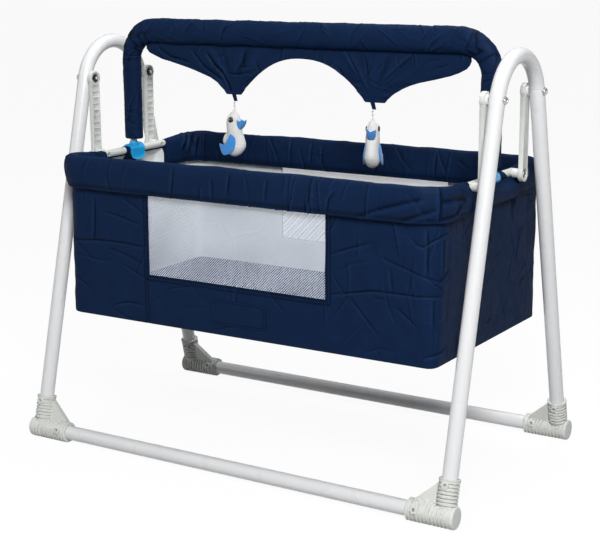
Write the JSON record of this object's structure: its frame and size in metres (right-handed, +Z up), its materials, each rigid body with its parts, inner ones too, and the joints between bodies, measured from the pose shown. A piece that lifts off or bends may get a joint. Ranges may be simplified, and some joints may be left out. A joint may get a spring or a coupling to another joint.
{
  "type": "swing cradle",
  "caption": "Fabric baby cradle hung on four links between two bent-tube end frames, with mesh windows and a lift-off padded toy arch carrying plush birds.",
  "frame": {"origin": "on the floor, under the middle of the cradle", "axes": "+X along the cradle to its right end, +Y to its back, +Z up; it swings along Y"},
  "size_m": [1.086, 0.6384, 0.9404],
  "materials": {
    "white_paint": "satin white paint",
    "grey_plastic": "matte light grey",
    "zinc": "zinc plated",
    "navy_cloth": "woven navy cloth over thin padding",
    "net": "pale knitted mesh",
    "mattress_cloth": "grey cotton",
    "board": "bare hardboard",
    "blue_plastic": "semi-gloss blue",
    "plush": "short white plush",
    "felt": "blue felt",
    "cord": "white braided cord"
  },
  "bodies": {
    "stand": {"end_frame_left": "white_paint", "end_frame_right": "white_paint", "floor_tube_front": "white_paint", "floor_tube_back": "white_paint", "connector_front_left": "grey_plastic", "connector_front_right": "grey_plastic", "connector_back_left": "grey_plastic", "connector_back_right": "grey_plastic", "leg_screw_front_left": "zinc", "leg_screw_front_right": "zinc", "leg_screw_back_left": "zinc", "leg_screw_back_right": "zinc", "floor_screw_front_left": "zinc", "floor_screw_front_right": "zinc", "floor_screw_back_left": "zinc", "floor_screw_back_right": "zinc", "upper_pivot_bolt_front_left": "zinc", "upper_pivot_bolt_front_right": "zinc", "upper_pivot_bolt_back_left": "zinc", "upper_pivot_bolt_back_right": "zinc", "pivot_nut_front_left": "zinc", "pivot_nut_front_right": "zinc", "pivot_nut_back_left": "zinc", "pivot_nut_back_right": "zinc"},
    "link_front_left": {"swing_link_front_left": "grey_plastic"},
    "link_front_right": {"swing_link_front_right": "grey_plastic"},
    "link_back_left": {"swing_link_back_left": "grey_plastic"},
    "link_back_right": {"swing_link_back_right": "grey_plastic"},
    "basket": {"hanger_bar_left": "white_paint", "hanger_bar_right": "white_paint", "rim_rail_front": "white_paint", "rim_rail_back": "white_paint", "lower_pivot_bolt_front_left": "zinc", "lower_pivot_bolt_front_right": "zinc", "lower_pivot_bolt_back_left": "zinc", "lower_pivot_bolt_back_right": "zinc", "base_board": "board", "mattress": "mattress_cloth", "cover_front": "navy_cloth", "cover_back": "navy_cloth", "cover_left": "navy_cloth", "cover_right": "navy_cloth", "cover_bottom": "navy_cloth", "mesh_window_front": "net", "mesh_window_back": "net", "rim_roll_front": "navy_cloth", "rim_roll_back": "navy_cloth", "arch_clamp_left": "blue_plastic", "arch_clamp_right": "blue_plastic"},
    "arch": {"arch_tube": "white_paint", "arch_sleeve": "navy_cloth", "pelmet": "navy_cloth"},
    "string_left": {"toy_string_left": "cord"},
    "string_right": {"toy_string_right": "cord"},
    "bird_left": {"toy_body_left": "plush", "toy_head_left": "plush", "toy_wings_left": "felt"},
    "bird_right": {"toy_body_right": "plush", "toy_head_right": "plush", "toy_wings_right": "felt"}
  },
  "joints": [
    {"name": "swing", "type": "hinge", "parent": "stand", "child": "link_front_left", "pos_m": [-0.486, -0.1009, 0.8072], "axis": [1, 0, 0], "range_deg": [-25, 25]},
    {"name": "basket_level", "type": "hinge", "parent": "link_front_left", "child": "basket", "pos_m": [-0.456, -0.1009, 0.6352], "axis": [1, 0, 0], "range_deg": [-25, 25]},
    {"name": "link_turn_front_right", "type": "hinge", "parent": "stand", "child": "link_front_right", "pos_m": [0.486, -0.1009, 0.8072], "axis": [1, 0, 0], "range_deg": [-25, 25]},
    {"name": "link_turn_back_left", "type": "hinge", "parent": "stand", "child": "link_back_left", "pos_m": [-0.486, 0.1009, 0.8072], "axis": [1, 0, 0], "range_deg": [-25, 25]},
    {"name": "link_turn_back_right", "type": "hinge", "parent": "stand", "child": "link_back_right", "pos_m": [0.486, 0.1009, 0.8072], "axis": [1, 0, 0], "range_deg": [-25, 25]},
    {"name": "arch_lift", "type": "slide", "parent": "basket", "child": "arch", "axis": [0, 0, 1], "range_m": [0, 0.036]},
    {"name": "toy_swing_left", "type": "hinge", "parent": "arch", "child": "string_left", "pos_m": [-0.167, 0, 0.7614], "axis": [1, 0, 0], "range_deg": [-35, 35]},
    {"name": "toy_swing_right", "type": "hinge", "parent": "arch", "child": "string_right", "pos_m": [0.185, 0, 0.7614], "axis": [1, 0, 0], "range_deg": [-35, 35]},
    {"name": "toy_twist_left", "type": "hinge", "parent": "string_left", "child": "bird_left", "pos_m": [-0.167, 0, 0.7416], "axis": [0, 0, 1], "continuous": true},
    {"name": "toy_twist_right", "type": "hinge", "parent": "string_right", "child": "bird_right", "pos_m": [0.185, 0, 0.7416], "axis": [0, 0, 1], "continuous": true}
  ],
  "couplings": [
    {"joint": "basket_level", "follows": "swing", "ratio": -1},
    {"joint": "link_turn_front_right", "follows": "swing", "ratio": 1},
    {"joint": "link_turn_back_left", "follows": "swing", "ratio": 1},
    {"joint": "link_turn_back_right", "follows": "swing", "ratio": 1}
  ]
}
